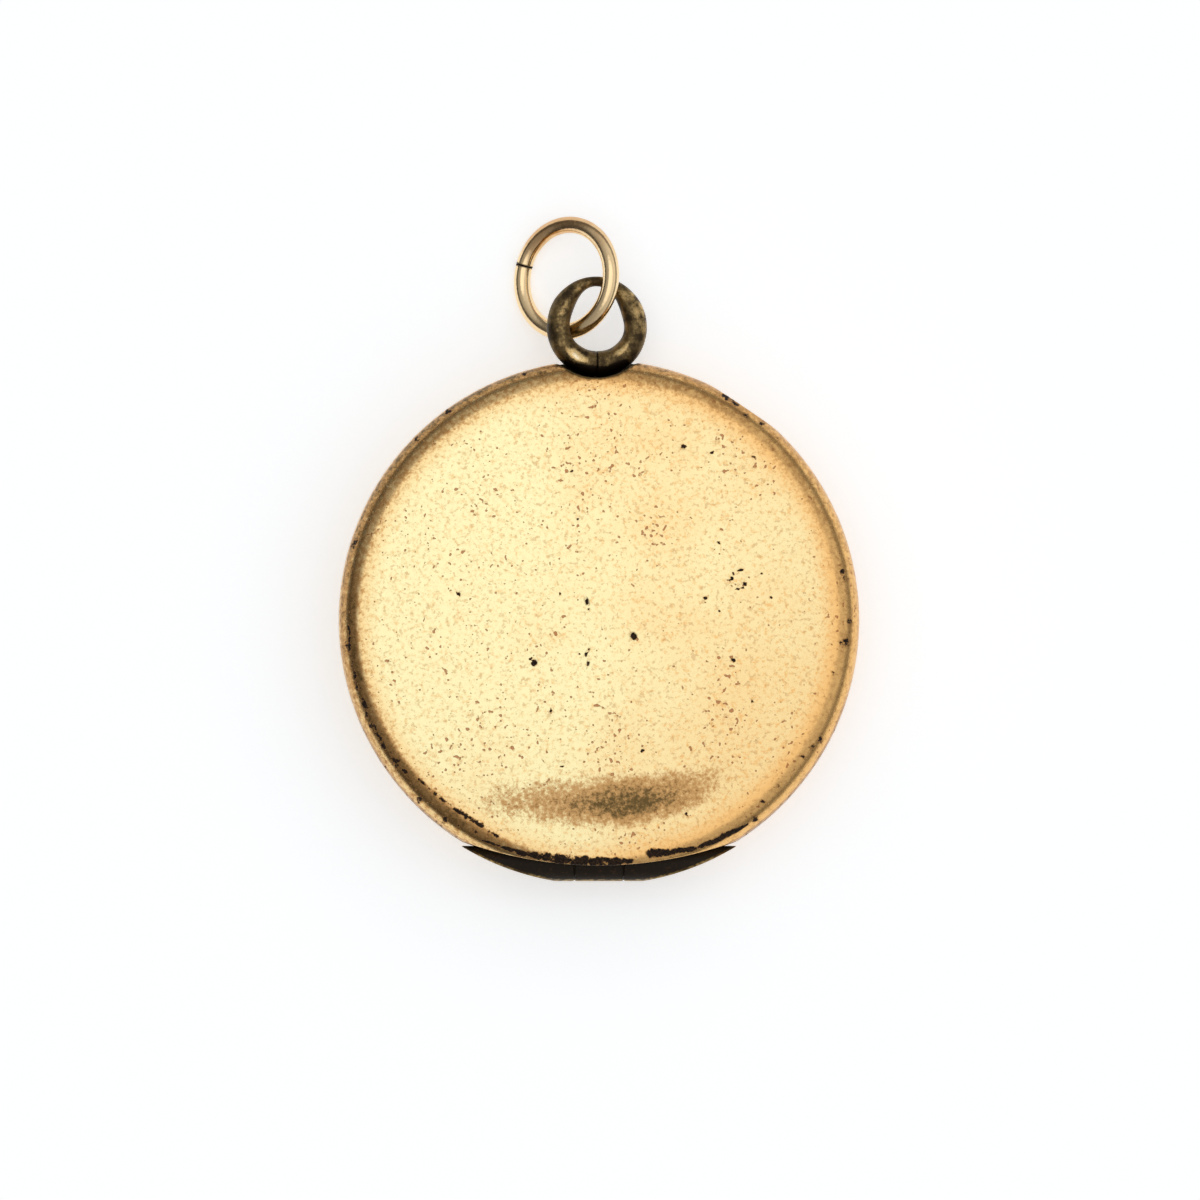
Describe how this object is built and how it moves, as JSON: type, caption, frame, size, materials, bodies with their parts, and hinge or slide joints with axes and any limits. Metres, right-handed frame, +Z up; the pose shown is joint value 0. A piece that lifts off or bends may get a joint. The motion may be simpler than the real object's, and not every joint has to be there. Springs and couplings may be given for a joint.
{
  "type": "locket",
  "caption": "Round hinged locket with domed halves, a snap rim, two picture seats under clear discs, a soldered bow and a split jump ring.",
  "frame": {"origin": "middle of the back's resting flat, with the locket lying on its back", "axes": "+Z up out of the front face, +Y from the hinge towards the bow, +X to the right seen from the front"},
  "size_m": [0.025, 0.0321, 0.0054],
  "materials": {
    "gold_filled": "worn satin yellow-gold sheet",
    "inner_gold": "soft gilt, little worn",
    "bow_patina": "dark patina rubbed bright on its high places",
    "solder": "dull dark solder",
    "pin_steel": "filed flush, tarnished",
    "rose_gold": "polished rose gold",
    "card": "aged blank card",
    "celluloid": "clear, slightly yellowed"
  },
  "bodies": {
    "back_case": {"back_shell": "gold_filled", "back_snap_rim": "inner_gold", "back_liner": "inner_gold", "back_photo_card": "card", "back_crystal": "celluloid", "back_bezel": "inner_gold", "back_hinge_bearer": "inner_gold", "left_knuckle": "gold_filled", "right_knuckle": "gold_filled", "hinge_pin": "pin_steel", "bow": "bow_patina", "bow_solder_seat": "solder"},
    "front_case": {"front_shell": "gold_filled", "front_rim_ring": "inner_gold", "front_liner": "inner_gold", "front_photo_card": "card", "front_crystal": "celluloid", "front_bezel": "inner_gold", "front_hinge_bearer": "inner_gold", "centre_knuckle": "gold_filled"},
    "jump_ring": {"jump_ring": "rose_gold"}
  },
  "joints": [
    {"name": "lid_hinge", "type": "hinge", "parent": "back_case", "child": "front_case", "pos_m": [0, -0.01168, 0.0027], "axis": [1, 0, 0], "range_deg": [0, 160]},
    {"name": "ring_swing", "type": "hinge", "parent": "back_case", "child": "jump_ring", "pos_m": [0.00042, 0.01624, 0.00262], "axis": [0.9199, -0.364, -0.1457], "range_deg": [0, 140]}
  ]
}
